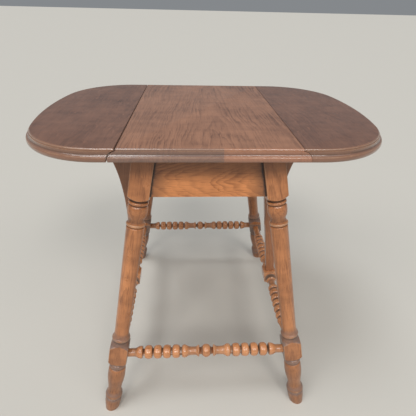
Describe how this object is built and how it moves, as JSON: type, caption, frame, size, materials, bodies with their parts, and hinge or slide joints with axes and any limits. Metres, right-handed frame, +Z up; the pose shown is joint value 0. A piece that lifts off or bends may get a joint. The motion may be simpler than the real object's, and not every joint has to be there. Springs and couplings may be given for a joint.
{
  "type": "butterfly drop-leaf table",
  "caption": "Wooden butterfly drop-leaf table with splayed turned legs, spool-turned stretchers, rule-jointed D-shaped leaves held up on pivoting wings.",
  "frame": {"origin": "on the floor, under the middle of the table", "axes": "+X across both leaves to the right in the picture, +Y to the back, +Z up"},
  "size_m": [0.738, 0.6322, 0.686],
  "materials": {
    "top_wood": "worn satin varnish",
    "frame_wood": "satin varnish",
    "block_wood": "unfinished",
    "hinge_steel": "dull",
    "pin_steel": "plain",
    "screw_steel": "dull"
  },
  "bodies": {
    "frame": {"apron_back": "frame_wood", "apron_front": "frame_wood", "apron_left": "frame_wood", "apron_right": "frame_wood", "corner_block_back_left": "block_wood", "corner_block_back_right": "block_wood", "corner_block_front_left": "block_wood", "corner_block_front_right": "block_wood", "hinge_pin_back_left": "hinge_steel", "hinge_pin_back_right": "hinge_steel", "hinge_pin_front_left": "hinge_steel", "hinge_pin_front_right": "hinge_steel", "hinge_plate_fixed_back_left": "hinge_steel", "hinge_plate_fixed_back_right": "hinge_steel", "hinge_plate_fixed_front_left": "hinge_steel", "hinge_plate_fixed_front_right": "hinge_steel", "hinge_screws_top": "screw_steel", "leg_back_left": "frame_wood", "leg_back_right": "frame_wood", "leg_front_left": "frame_wood", "leg_front_right": "frame_wood", "stretcher_back": "frame_wood", "stretcher_front": "frame_wood", "stretcher_left": "frame_wood", "stretcher_right": "frame_wood", "top_centre": "top_wood", "top_screws": "screw_steel"},
    "leaf_left": {"leaf_left": "top_wood", "hinge_plate_leaf_front_left": "hinge_steel", "hinge_plate_leaf_back_left": "hinge_steel", "hinge_screws_leaf_left": "screw_steel"},
    "wing_left": {"wing_left": "frame_wood", "wing_pin_lower_left": "pin_steel", "wing_pin_upper_left": "pin_steel"},
    "leaf_right": {"leaf_right": "top_wood", "hinge_plate_leaf_front_right": "hinge_steel", "hinge_plate_leaf_back_right": "hinge_steel", "hinge_screws_leaf_right": "screw_steel"},
    "wing_right": {"wing_right": "frame_wood", "wing_pin_lower_right": "pin_steel", "wing_pin_upper_right": "pin_steel"}
  },
  "joints": [
    {"name": "leaf_left_hinge", "type": "hinge", "parent": "frame", "child": "leaf_left", "pos_m": [-0.16, 0, 0.6675], "axis": [0, 1, 0], "range_deg": [0, 2]},
    {"name": "leaf_right_hinge", "type": "hinge", "parent": "frame", "child": "leaf_right", "pos_m": [0.16, 0, 0.6675], "axis": [0, -1, 0], "range_deg": [0, 2]},
    {"name": "wing_left_pivot", "type": "hinge", "parent": "frame", "child": "wing_left", "pos_m": [-0.20982, 0, 0.171], "axis": [0.1313, 0, 0.9913], "range_deg": [-90, 90]},
    {"name": "wing_right_pivot", "type": "hinge", "parent": "frame", "child": "wing_right", "pos_m": [0.20982, 0, 0.171], "axis": [-0.1313, 0, 0.9913], "range_deg": [-90, 90]}
  ]
}
